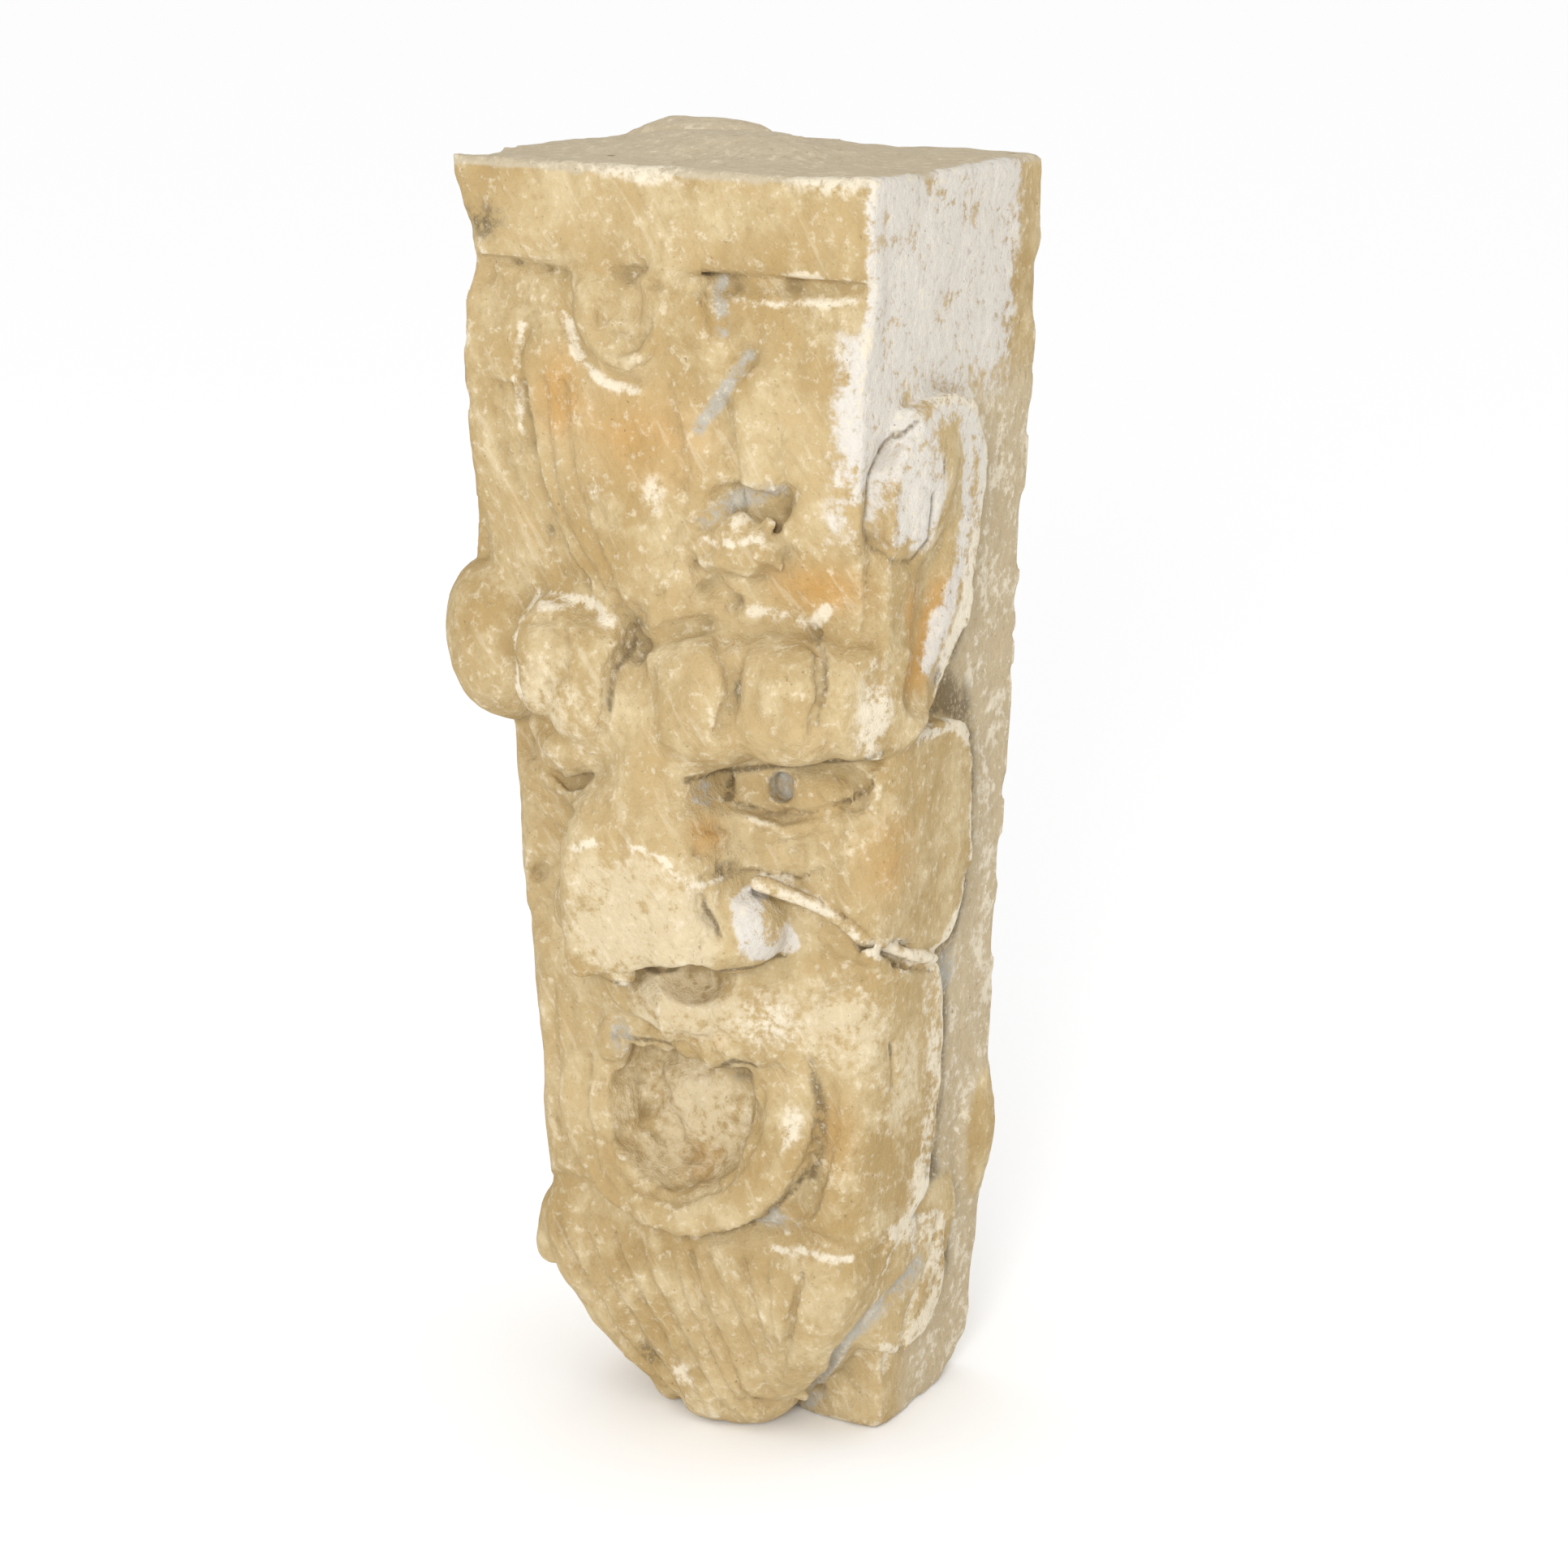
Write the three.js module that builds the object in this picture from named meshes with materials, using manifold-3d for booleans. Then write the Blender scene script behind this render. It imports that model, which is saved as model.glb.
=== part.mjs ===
// A carved limestone keystone: a tapering arch stone whose front is a grotesque mask with heavy brows,
// drilled eyes, a broken nose, a ring-shaped open mouth and a leafy beard, under a plain square band.
// It stands on its underside, +Z up, with the mask facing -Y. The origin is in the centre plane of the
// stone, on the underside. Lengths are in millimetres.
import * as THREE from 'three';
import { mergeVertices } from 'three/addons/utils/BufferGeometryUtils.js';
import Module from 'manifold-3d';

const wasm = await Module();
wasm.setup();

// Driving dimensions of the block
const HEIGHT = 760;
const TOP_WIDTH = 275;
const BOTTOM_WIDTH = 193;
const BED_DEPTH = 197;
const FOOT_DEPTH = 112;
const ORIGIN_FROM_BACK = 75;
const BAND_HEIGHT = 54;
const BAND_PROJECTION = 9;
const JOINT_STRIP = 58;
const SIDE_RELIEF = 12;
const RIDGE_HEIGHT = 12;
const RIDGE_LENGTH = 104;
const RIDGE_WIDTH = 40;
const RIDGE_SIDES = 14;
const RIDGE_RINGS = 8;
const PUPIL_DIAMETER = 19;
const PUPIL_DEPTH = 16;

// The carver's grid, which the mask is drawn on. It is stretched to the block: HALF steps from the centre
// plane to a side face at any height, FRONT steps from the back to the front of the bed, TOP steps up.
const HALF = 16;
const FRONT = 26;
const TOP = 100;
const FORWARD_STEP = BED_DEPTH / FRONT;
const UP_STEP = HEIGHT / TOP;
const MIDDLE_STEP = (TOP_WIDTH + BOTTOM_WIDTH) / 4 / HALF;

// Levels on the grid that follow from the block's own sizes
const BAND_BOTTOM = TOP - BAND_HEIGHT / UP_STEP;
const BAND_SET_BACK = BAND_PROJECTION / FORWARD_STEP;
const STRIP = JOINT_STRIP / FORWARD_STEP;
const PROUD = HALF + SIDE_RELIEF / MIDDLE_STEP;
const FOOT = FOOT_DEPTH / FORWARD_STEP;

// Stone left on behind the back plane, which the last cut takes off flat
const SPARE = 0.2;

// How round the front corners are: where the block is square, where it is rounded, and on the head
const ARRIS = 0.2;
const CORNER_ROUNDING = 2.8;
const HEAD_ROUND = 5;

// The half-length of a form that runs right through the stone
const ENDLESS = 1000;

// The middle of the eye on the right, where the pupil is drilled
const PUPIL = [9.1, 24.4, 54.7];
const PUPIL_SIDES = 16;

function halfWidthAt(up) {
  return THREE.MathUtils.lerp(BOTTOM_WIDTH, TOP_WIDTH, up / TOP) / 2;
}

function toStone([across, forward, up]) {
  return new THREE.Vector3(
    (across / HALF) * halfWidthAt(up),
    ORIGIN_FROM_BACK - forward * FORWARD_STEP,
    up * UP_STEP,
  );
}

// Forms: each is a function that gives the distance from a grid point, negative inside.

function form(centre, radii, squareness = 2) {
  const smallest = Math.min(...radii);
  return (point) => {
    let sum = 0;
    for (let i = 0; i < 3; i += 1) {
      sum += Math.abs((point[i] - centre[i]) / radii[i]) ** squareness;
    }
    return (sum ** (1 / squareness) - 1) * smallest;
  };
}

function lock(...knots) {
  return (point) => {
    let nearest = Infinity;
    for (let k = 0; k + 1 < knots.length; k += 1) {
      nearest = Math.min(nearest, taperedRod(point, knots[k], knots[k + 1]));
    }
    return nearest;
  };
}

function taperedRod(point, start, end) {
  let along = 0;
  let lengthSquared = 0;
  for (let i = 0; i < 3; i += 1) {
    along += (point[i] - start[i]) * (end[i] - start[i]);
    lengthSquared += (end[i] - start[i]) ** 2;
  }
  const share = THREE.MathUtils.clamp(along / lengthSquared, 0, 1);
  let gapSquared = 0;
  for (let i = 0; i < 3; i += 1) {
    gapSquared += (point[i] - THREE.MathUtils.lerp(start[i], end[i], share)) ** 2;
  }
  return Math.sqrt(gapSquared) - THREE.MathUtils.lerp(start[3], end[3], share);
}

function halfSpace(origin, outward) {
  const size = Math.hypot(...outward);
  return (point) => {
    let sum = 0;
    for (let i = 0; i < 3; i += 1) {
      sum += (point[i] - origin[i]) * outward[i];
    }
    return sum / size;
  };
}

// What lies between the side faces, or between two planes parallel to them.
function betweenSides(reach = HALF) {
  return ([across]) => Math.abs(across) - reach;
}

function common(first, second) {
  return (point) => Math.max(first(point), second(point));
}

function smoothUnion(a, b, blend) {
  const overlap = Math.max(blend - Math.abs(a - b), 0) / blend;
  return Math.min(a, b) - (overlap * overlap * blend) / 4;
}

function smoothCut(body, tool, blend) {
  return -smoothUnion(-body, tool, blend);
}

function smoothCommon(first, second, blend) {
  return (point) => -smoothUnion(-first(point), -second(point), blend);
}

// An upright body with square back corners and rounded front corners.
function section(across, forward, half, front, rounding) {
  const sideways = Math.abs(across) - (half - rounding);
  const ahead = forward - (front - rounding);
  const corner = Math.hypot(Math.max(sideways, 0), Math.max(ahead, 0));
  return corner + Math.min(Math.max(sideways, ahead), 0) - rounding;
}

// The rounded front of the head, which the cheeks, jowls and leaves lie in.
function head(front) {
  return ([across, forward]) => section(across, forward, PROUD, front, HEAD_ROUND);
}

// A form that is drawn on the centre plane, carried right through the stone from side to side.
function through(outline) {
  return ([, forward, up]) => outline([0, forward, up]);
}

// The plain block

const FRONT_PROFILE = [
  [0, FOOT],
  [9, FOOT + 0.6],
  [18, 20.4],
  [45, 22.4],
  [62, 23.6],
  [69, 24.6],
  [75, 26.1],
  [86, 26.4],
  [BAND_BOTTOM, FRONT - BAND_SET_BACK],
];

function frontAt(up) {
  if (up >= BAND_BOTTOM) {
    return FRONT;
  }
  const above = FRONT_PROFILE.findIndex(([level]) => level > up);
  const [low, lowFront] = FRONT_PROFILE[above - 1];
  const [high, highFront] = FRONT_PROFILE[above];
  return THREE.MathUtils.lerp(lowFront, highFront, (up - low) / (high - low));
}

// The front corners are rounded behind the jowls and cheeks, and nearly square above and below them.
function block([across, forward, up]) {
  const { smoothstep } = THREE.MathUtils;
  const rounding = ARRIS + CORNER_ROUNDING * smoothstep(up, 8, 14) * (1 - smoothstep(up, 58, 70));
  return Math.max(section(across, forward, HALF, frontAt(up), rounding), -SPARE - forward);
}

// The carving, in the order it is worked. BOTH is the same on each side, LEFT and RIGHT are seen from the
// front, with the right on +X.

const BOTH = 'both';
const WHOLE = 'whole';
const LEFT = 'left';
const RIGHT = 'right';
const work = [];

function add(side, blend, shape) {
  work.push({ side, blend, shape, join: smoothUnion });
}

function cut(side, blend, shape) {
  work.push({ side, blend, shape, join: smoothCut });
}

// What stands proud of the joint strip on each side
const EAR = through(lock([0, 16.6, 76.8, 7.2], [0, 17.4, 69, 6.6], [0, 19.2, 63.4, 4.5]));
const CHEEK = through(form([0, 15.8, 49.2], [ENDLESS, 7.6, 9.6], 3));
const JOWL = through(form([0, 17.4, 29.4], [ENDLESS, 7, 11.8], 3));
const SIDE_LEAF = through(form([0, 12.8, 12.4], [ENDLESS, 5.4, 5.6], 2.6));

function carveForehead() {
  add(WHOLE, 1.5, common(form([-1.5, 14, 76], [25, 14.2, 26]), betweenSides(HALF - 1)));
  add(WHOLE, 2, lock([0, 22.3, 71, 6], [0, 24.4, 64.5, 5.2]));
  add(WHOLE, 0.4, lock([-5.6, 25.6, 92, 1.5], [-5.2, 26, 88.8, 1.6], [-3.4, 26.3, 86.6, 1.7],
    [-1, 26.4, 86.2, 1.7], [1.4, 26.2, 87.8, 1.5]));
  add(WHOLE, 0.4, form([2, 25.6, 89.7], [3.2, 1.8, 3.2], 3));
  cut(WHOLE, 0.3, lock([4.6, 26.8, 92, 1.1], [5.2, 27, 88.6, 0.7]));
  cut(WHOLE, 0.3, lock([7.2, 26.6, 87.2, 1], [5.4, 27.4, 84.2, 0.7], [3.9, 27.9, 81.6, 0.4]));
  cut(WHOLE, 0.3, lock([4, 28.4, 73.9, 0.7], [6.6, 27.6, 76.8, 1.5], [9.8, 26.8, 76.4, 1.3],
    [11.2, 26.8, 77.8, 0.7]));
  cut(WHOLE, 0.6, form([8.8, 28.3, 71.4], [1.6, 1.5, 3]));
}

function carveEyes() {
  add(WHOLE, 1.5, form([0, 14, 50], [15, 13.2, 21]));
  add(BOTH, 0.4, common(CHEEK, head(24)));
  cut(BOTH, 0.5, lock([5.6, 27, 54.5, 2.2], [9.8, 25.8, 54.5, 3], [14.4, 23.6, 54.8, 2.3]));
  add(BOTH, 0.2, form([10, 20.3, 54.4], [4.9, 3.8, 2.5], 2.3));
  add(BOTH, 0.2, lock([5.8, 25.2, 52.4, 0.5], [10, 24.4, 51.5, 0.6], [14.8, 22.4, 52.8, 0.5]));
  cut(BOTH, 0.3, form([5, 26.4, 54.6], [1.1, 3, 1.4]));
}

function carveBrows() {
  add(BOTH, 0.4, form([4.7, 25, 61.8], [4.3, 5.6, 5.4], 2.9));
  add(BOTH, 0.6, lock([4.4, 26.2, 60, 3.4], [3.3, 27, 57.7, 2.3]));
  add(RIGHT, 0.5, form([11.2, 24.2, 62.2], [4.6, 5.4, 5], 2.8));
  add(RIGHT, 0.5, form([15.4, 22, 62.1], [3.9, 5.2, 4.6], 2.8));
  add(LEFT, 0.4, form([8.6, 25, 63], [3.8, 5.4, 5.4], 2.4));
  add(LEFT, 0.4, form([15.4, 22.8, 63.2], [5, 5.4, 6.4], 2.3));
  cut(WHOLE, 0.5, lock([-0.6, 29.6, 67.6, 1.6], [-0.5, 29.6, 60, 0.9]));
  cut(RIGHT, 0.2, common(halfSpace([17.4, 24, 62], [-1, -0.35, 0]), form([20, 25, 61.5], [5, 5, 7])));
  cut(BOTH, 0.2, lock([4, 28.2, 54.6, 0.4], [6.4, 26.6, 55.6, 0.7], [11, 25.4, 56.4, 0.8],
    [15.6, 23.2, 57, 0.6]));
}

function carveNose() {
  add(WHOLE, 1.2, lock([0, 26.8, 60, 2.7], [0, 27.4, 52, 4]));
  add(WHOLE, 1.2, form([-0.4, 24, 45.4], [7.6, 8.8, 10.4], 2.8));
  add(BOTH, 0.7, form([6.2, 25.1, 43.8], [4.2, 4.2, 3.6]));
  cut(WHOLE, 0.5, common(halfSpace([0, 32, 50], [0, -1, 0.13]), halfSpace([0, 0, 53], [0, 0, 1])));
  cut(WHOLE, 0.4, common(halfSpace([0, 27, 41.4], [-0.25, 0.2, 1]), form([0, 30, 38], [9.5, 5.5, 5])));
  cut(BOTH, 0.5, form([4.6, 26.6, 39.6], [2.4, 2.6, 1.9]));
}

function carveCheeks() {
  add(BOTH, 0.8, form([9.8, 16.6, 37.5], [6.6, 6.8, 8.5]));
  add(BOTH, 0.4, common(JOWL, head(23.4)));
  cut(LEFT, 0.4, lock([6.6, 27.8, 49.4, 0.5], [9, 26, 47.6, 0.8], [12.6, 24, 46, 0.9],
    [15, 22.6, 44, 0.7]));
  cut(RIGHT, 0.4, lock([6.6, 27.8, 49.4, 0.5], [9, 26, 47.6, 0.8], [12.6, 24, 46, 0.9],
    [15.8, 22, 43.3, 0.9], [PROUD + 0.5, 16, 40.6, 1], [PROUD + 0.5, 8, 39.4, 1]));
}

function carveMouth() {
  const plate = form([0, 0, 28.2], [13.3, ENDLESS, 10.4]);
  const front = halfSpace([0, 24.4, 28.2], [0, 1, 0.25]);
  cut(BOTH, 0.4, lock([14, 23.8, 36, 0.9], [14.5, 23.4, 28, 1.2], [12.6, 23.6, 21.6, 1.3],
    [6.4, 24.6, 17.4, 1]));
  add(WHOLE, 0.2, smoothCommon(common(plate, halfSpace([0, 10, 0], [0, -1, 0])), front, 1.8));
  cut(WHOLE, 0.5, form([0, 27, 28.6], [9.4, 3.2, 8.6]));
  cut(WHOLE, 0.3, form([0, 25, 28.7], [7.7, 5.8, 7.5]));
  add(WHOLE, 0.6, form([-2.2, 18.6, 27], [4, 2.4, 5]));
  add(WHOLE, 0.4, form([2.8, 18, 26.2], [3.6, 2.4, 4.2]));
  add(BOTH, 1, lock([0, 22.8, 37, 3.9], [9.6, 21, 36.4, 3.2]));
  add(WHOLE, 0.7, lock([-4, 22.4, 34.2, 2.3], [4, 22.4, 33.8, 2.3], [9.6, 21.6, 34.2, 2.5]));
}

function carveBeard() {
  const outline = form([0, 0, 16], [17.4, ENDLESS, 17], 1.7);
  const lean = smoothCommon(halfSpace([0, 21, 0], [0, 1, -0.24]), halfSpace([0, 24.6, 15], [0, 1, 0.6]), 3);
  add(WHOLE, 0.4, smoothCommon(common(outline, halfSpace([0, 6, 0], [0, -1, 0])), lean, 4));
  add(BOTH, 0.3, common(SIDE_LEAF, head(19.5)));
  add(LEFT, 0.6, lock([12.5, 18.5, 17.6, 3.2], [16, 20, 15.2, 2.4], [17, 20.8, 12.6, 1.8]));
  add(RIGHT, 0.3, lock([17, 17, 17.4, 1], [12.4, 18.6, 12.6, 2.4], [9, 18.2, 5, 1.8]));
  cut(RIGHT, 0.3, lock([18.2, 12.7, 14, 0.9], [17.4, 18, 11.9, 0.9], [15, 20, 9, 0.8],
    [10.8, 18, 4.4, 0.9], [8.1, 15.6, 0.4, 1]));
}

function carveEars() {
  add(BOTH, 0.3, common(EAR, betweenSides(PROUD)));
  cut(BOTH, 0.4, lock([PROUD + 1.9, 17, 73.5, 2.9], [PROUD + 2, 17.6, 67.5, 3],
    [PROUD + 1.9, 19.6, 62.6, 2.4]));
  add(BOTH, 0.3, form([PROUD - 1, 18.8, 77.6], [1.6, 4.4, 6.2], 2.6));
}

function leaveRoughEnds() {
  cut(LEFT, 0.4, halfSpace([16, 11.5, 2.6], [-5.3, -3.8, 7.2]));
  add(RIGHT, 1, form([15.2, 1.4, 21.4], [2.4, 2.6, 6]));
  cut(RIGHT, 0.4, halfSpace([HALF, 0, 3.4], [-1, 0.6, 0.9]));
}

carveForehead();
carveEyes();
carveBrows();
carveNose();
carveCheeks();
carveMouth();
carveBeard();
carveEars();
leaveRoughEnds();

function carved(point) {
  const [across, forward, up] = point;
  const mirrored = [Math.abs(across), forward, up];
  let distance = block(point);
  for (const { side, blend, shape, join } of work) {
    if ((side === LEFT && across > 0) || (side === RIGHT && across < 0)) {
      continue;
    }
    distance = join(distance, shape(side === WHOLE ? point : mirrored), blend);
  }
  return distance;
}

// The surface: rows from the underside to the bed, each a ring of points found by looking inwards, at
// its height, from outside the stone towards an upright axis.

const AXIS_FORWARD = 11;
const FURTHEST_FORWARD = 33;

// The search walks in by steps, as shares of the way from the axis to the block, then halves the last step
const SEARCH_TO = 0.2;
const SEARCH_STEP = 0.02;
const HALVINGS = 26;

// Rows between two levels, closer together where the mask is carved
const ROW_BANDS = [[0, 13, 11], [13, 68, 52], [68, BAND_BOTTOM, 18], [BAND_BOTTOM, TOP, 2]];
const FRONT_COLUMNS = 44;
const SIDE_COLUMNS = 10;
const BACK_COLUMNS = 4;

// How close the two rows or columns at a sharp step are
const EDGE = 0.3;

// How far the finished surface may be simplified, in millimetres
const FLATNESS = 0.02;

function spread(from, to, steps) {
  return Array.from({ length: steps }, (_, i) => THREE.MathUtils.lerp(from, to, i / steps));
}

function rowLevels() {
  const levels = ROW_BANDS.flatMap(([from, to, steps]) => spread(from, to, steps));
  levels.push(BAND_BOTTOM - EDGE, TOP);
  return levels.sort((a, b) => a - b);
}

function outlineAt(up) {
  const front = frontAt(up);
  const rightSide = [-SPARE, STRIP - EDGE, ...spread(STRIP, front, SIDE_COLUMNS)].map((f) => [HALF, f]);
  const face = spread(HALF, -HALF, FRONT_COLUMNS).map((a) => [a, front]);
  const leftSide = [front, ...spread(STRIP, front, SIDE_COLUMNS).reverse(), STRIP - EDGE];
  const back = spread(-HALF, HALF, BACK_COLUMNS).map((a) => [a, -SPARE]);
  return [...rightSide, ...face, ...leftSide.map((f) => [-HALF, f]), ...back];
}

function surfacePoint([across, forward], up) {
  const at = (reach) => [across * reach, THREE.MathUtils.lerp(AXIS_FORWARD, forward, reach), up];
  let outside = (FURTHEST_FORWARD - AXIS_FORWARD) / (frontAt(up) - AXIS_FORWARD);
  while (outside - SEARCH_STEP > SEARCH_TO && carved(at(outside - SEARCH_STEP)) > 0) {
    outside -= SEARCH_STEP;
  }
  let inside = outside - SEARCH_STEP;
  for (let i = 0; i < HALVINGS; i += 1) {
    const middle = (outside + inside) / 2;
    if (carved(at(middle)) > 0) {
      outside = middle;
    } else {
      inside = middle;
    }
  }
  return toStone(at(inside));
}

// The two triangles of a cell, split along its shorter diagonal. The corners go round the cell.
function cell(points, a, b, c, d) {
  if (points[a].distanceTo(points[c]) < points[b].distanceTo(points[d])) {
    return [a, b, c, a, c, d];
  }
  return [a, b, d, b, c, d];
}

function skin() {
  const levels = rowLevels();
  const rows = levels.map((up) => outlineAt(up).map((foot) => surfacePoint(foot, up)));
  const columns = rows[0].length;
  const points = rows.flat();
  const centres = [0, TOP].map((up) => toStone([0, AXIS_FORWARD, up]));
  const index = [];
  for (let column = 0; column < columns; column += 1) {
    const next = (column + 1) % columns;
    for (let row = 0; row + 1 < rows.length; row += 1) {
      const low = row * columns;
      const high = low + columns;
      index.push(...cell(points, low + next, low + column, high + column, high + next));
    }
    const lastRow = (rows.length - 1) * columns;
    index.push(points.length, column, next, points.length + 1, lastRow + next, lastRow + column);
  }
  const geometry = new THREE.BufferGeometry().setFromPoints([...points, ...centres]);
  geometry.setIndex(index);
  return geometry;
}

// Joining and cutting solids

function solidOf(geometry) {
  const bare = geometry.clone();
  bare.deleteAttribute('normal');
  bare.deleteAttribute('uv');
  const merged = mergeVertices(bare);
  const mesh = new wasm.Mesh({
    numProp: 3,
    vertProperties: new Float32Array(merged.attributes.position.array),
    triVerts: new Uint32Array(merged.index.array),
  });
  mesh.merge();
  return new wasm.Manifold(mesh);
}

function geometryOf(solid) {
  const mesh = solid.getMesh();
  const geometry = new THREE.BufferGeometry();
  geometry.setAttribute('position', new THREE.BufferAttribute(mesh.vertProperties, 3));
  geometry.setIndex(new THREE.BufferAttribute(mesh.triVerts, 1));
  return geometry;
}

// The drilled pupil, a round hole that runs into the stone from the middle of the eye.
function pupil(side) {
  const [across, forward, up] = PUPIL;
  const eye = toStone([side * across, forward, up]);
  const radius = PUPIL_DIAMETER / 2;
  const hole = new THREE.CylinderGeometry(radius, radius, 2 * PUPIL_DEPTH, PUPIL_SIDES);
  return hole.translate(eye.x, eye.y, eye.z);
}

// The ridge of undressed stone that was left standing along the back of the bed, on the left.
function ridge() {
  const lump = new THREE.SphereGeometry(1, RIDGE_SIDES, RIDGE_RINGS).rotateX(Math.PI / 2);
  lump.scale(RIDGE_LENGTH / 2, RIDGE_WIDTH / 2, RIDGE_HEIGHT);
  return lump.translate(-(TOP_WIDTH - RIDGE_LENGTH) / 2, ORIGIN_FROM_BACK - RIDGE_WIDTH / 2, HEIGHT);
}

function keystone() {
  let stone = solidOf(skin());
  stone = stone.add(solidOf(ridge()));
  for (const side of [-1, 1]) {
    stone = stone.subtract(solidOf(pupil(side)));
  }
  stone = stone.trimByPlane([0, -1, 0], -ORIGIN_FROM_BACK);
  stone = stone.asOriginal().simplify(FLATNESS);
  const limestone = new THREE.MeshStandardMaterial({ color: 0xcdb687, roughness: 0.9, metalness: 0 });
  const mesh = new THREE.Mesh(geometryOf(stone), limestone);
  mesh.name = 'keystone';
  return mesh;
}

const model = new THREE.Group();
model.add(keystone());

export default model;
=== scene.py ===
"""A carved limestone keystone with a grotesque mask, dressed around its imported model.

The mask is worked on the carver's grid: HALF steps from the centre plane to a side face at any height,
FRONT steps from the back to the front of the bed and TOP steps up. Grid points are (across, forward, up).
"""
import math

import bpy
import numpy as np
import openvdb
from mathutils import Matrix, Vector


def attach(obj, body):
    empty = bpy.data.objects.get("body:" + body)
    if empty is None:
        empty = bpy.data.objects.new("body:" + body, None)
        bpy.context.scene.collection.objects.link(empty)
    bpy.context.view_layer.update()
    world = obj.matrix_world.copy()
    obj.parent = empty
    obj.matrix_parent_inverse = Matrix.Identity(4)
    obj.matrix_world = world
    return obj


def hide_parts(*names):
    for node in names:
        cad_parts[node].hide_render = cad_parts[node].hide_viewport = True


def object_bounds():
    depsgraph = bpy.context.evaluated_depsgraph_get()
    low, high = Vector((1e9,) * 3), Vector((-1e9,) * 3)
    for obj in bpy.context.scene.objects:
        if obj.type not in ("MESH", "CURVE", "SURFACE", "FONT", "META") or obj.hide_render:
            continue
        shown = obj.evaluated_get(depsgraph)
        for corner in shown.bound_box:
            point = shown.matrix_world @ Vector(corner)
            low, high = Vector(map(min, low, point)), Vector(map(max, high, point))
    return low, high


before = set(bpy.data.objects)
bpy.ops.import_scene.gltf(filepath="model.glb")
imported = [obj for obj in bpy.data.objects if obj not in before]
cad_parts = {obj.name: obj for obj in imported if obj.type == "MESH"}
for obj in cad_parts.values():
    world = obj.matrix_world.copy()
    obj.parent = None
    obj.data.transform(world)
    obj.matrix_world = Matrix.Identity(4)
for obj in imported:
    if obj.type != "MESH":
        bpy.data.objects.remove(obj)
cad_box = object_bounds()

# The block, in metres
HEIGHT = 0.760
TOP_WIDTH = 0.275
BOTTOM_WIDTH = 0.193
BED_DEPTH = 0.197
FOOT_DEPTH = 0.112
ORIGIN_FROM_BACK = 0.075
BAND_HEIGHT = 0.054
BAND_PROJECTION = 0.009
SIDE_RELIEF = 0.012
RIDGE_HEIGHT = 0.012
RIDGE_LENGTH = 0.104
RIDGE_WIDTH = 0.040
PUPIL_DIAMETER = 0.019
PUPIL_DEPTH = 0.016

# The carver's grid
HALF = 16.0
FRONT = 26.0
TOP = 100.0
FORWARD_STEP = BED_DEPTH / FRONT
UP_STEP = HEIGHT / TOP
MIDDLE_STEP = (TOP_WIDTH + BOTTOM_WIDTH) / 4 / HALF
BAND_BOTTOM = TOP - BAND_HEIGHT / UP_STEP
BAND_SET_BACK = BAND_PROJECTION / FORWARD_STEP
PROUD = HALF + SIDE_RELIEF / MIDDLE_STEP
FOOT = FOOT_DEPTH / FORWARD_STEP
ARRIS = 0.2
CORNER_ROUNDING = 2.8
HEAD_ROUND = 5.0
ENDLESS = 1000
PUPIL = (9.1, 24.4, 54.7)

# The cells that the stone is worked out in, in grid steps, and how far from its skin they count, in cells
CELL = 0.34
FLATNESS = 0.007
REACH_LOW = np.array([-20.4, -3.0, -1.2])
REACH_HIGH = np.array([20.4, 33.0, 103.2])
WORK_MARGIN = 0.6
FAR_CELLS = 3.0

# Lines: the pieces for each point given, how softly they are cut in, and the least and most shares
# by which the carver's hand shifts, widens and deepens them
LINE_PIECES = 6
LINE_BLEND = 0.15
HAND_SHIFT = (-0.3, 0.3)
HAND_WIDTH = (0.7, 1.2)
HAND_DEPTH = (0.6, 1.5)

# The skin: the size and height of its lumps, and how it is chipped where it bulges, in grid steps
SKIN_LUMPS = ((5, 0.18), (2, 0.12), (0.9, 0.08))
CHIP_SIZE = 1.6
CHIP_DEPTH = 1.2
BULGE_REACH = 1.2
LEAST_BULGE = 0.2


def half_width_at(up):
    return (BOTTOM_WIDTH + (TOP_WIDTH - BOTTOM_WIDTH) * up / TOP) / 2


def to_stone(points):
    """Grid points, one a row, as places in metres."""
    across, forward, up = np.asarray(points, float).T
    return np.column_stack(
        (across / HALF * half_width_at(up), ORIGIN_FROM_BACK - forward * FORWARD_STEP, up * UP_STEP)
    )


# Forms: each gives the distance from a grid point, negative inside, and the corners of its box


def form(centre, radii, squareness=2.0):
    """An ellipsoid where the squareness is 2, boxier above that and more pointed below."""
    centre = np.array(centre, float)
    radii = np.array(radii, float)

    def distance(across, forward, up):
        parts = [
            abs((place - middle) / radius) ** squareness
            for place, middle, radius in zip((across, forward, up), centre, radii)
        ]
        return ((parts[0] + parts[1] + parts[2]) ** (1 / squareness) - 1) * radii.min()

    return distance, centre - radii, centre + radii


def lock(*knots):
    """A rounded rope through (across, forward, up, radius) knots."""
    knots = np.array(knots, float)

    def distance(across, forward, up):
        nearest = np.inf
        for start, end in zip(knots[:-1], knots[1:]):
            way = (end - start)[:3]
            run = (across - start[0]) * way[0] + (forward - start[1]) * way[1] + (up - start[2]) * way[2]
            share = np.clip(run / (way @ way), 0, 1)
            gap = np.sqrt(
                (across - start[0] - share * way[0]) ** 2
                + (forward - start[1] - share * way[1]) ** 2
                + (up - start[2] - share * way[2]) ** 2
            )
            nearest = np.minimum(nearest, gap - start[3] - share * (end[3] - start[3]))
        return nearest

    radii = knots[:, 3:]
    return distance, (knots[:, :3] - radii).min(axis=0), (knots[:, :3] + radii).max(axis=0)


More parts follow.
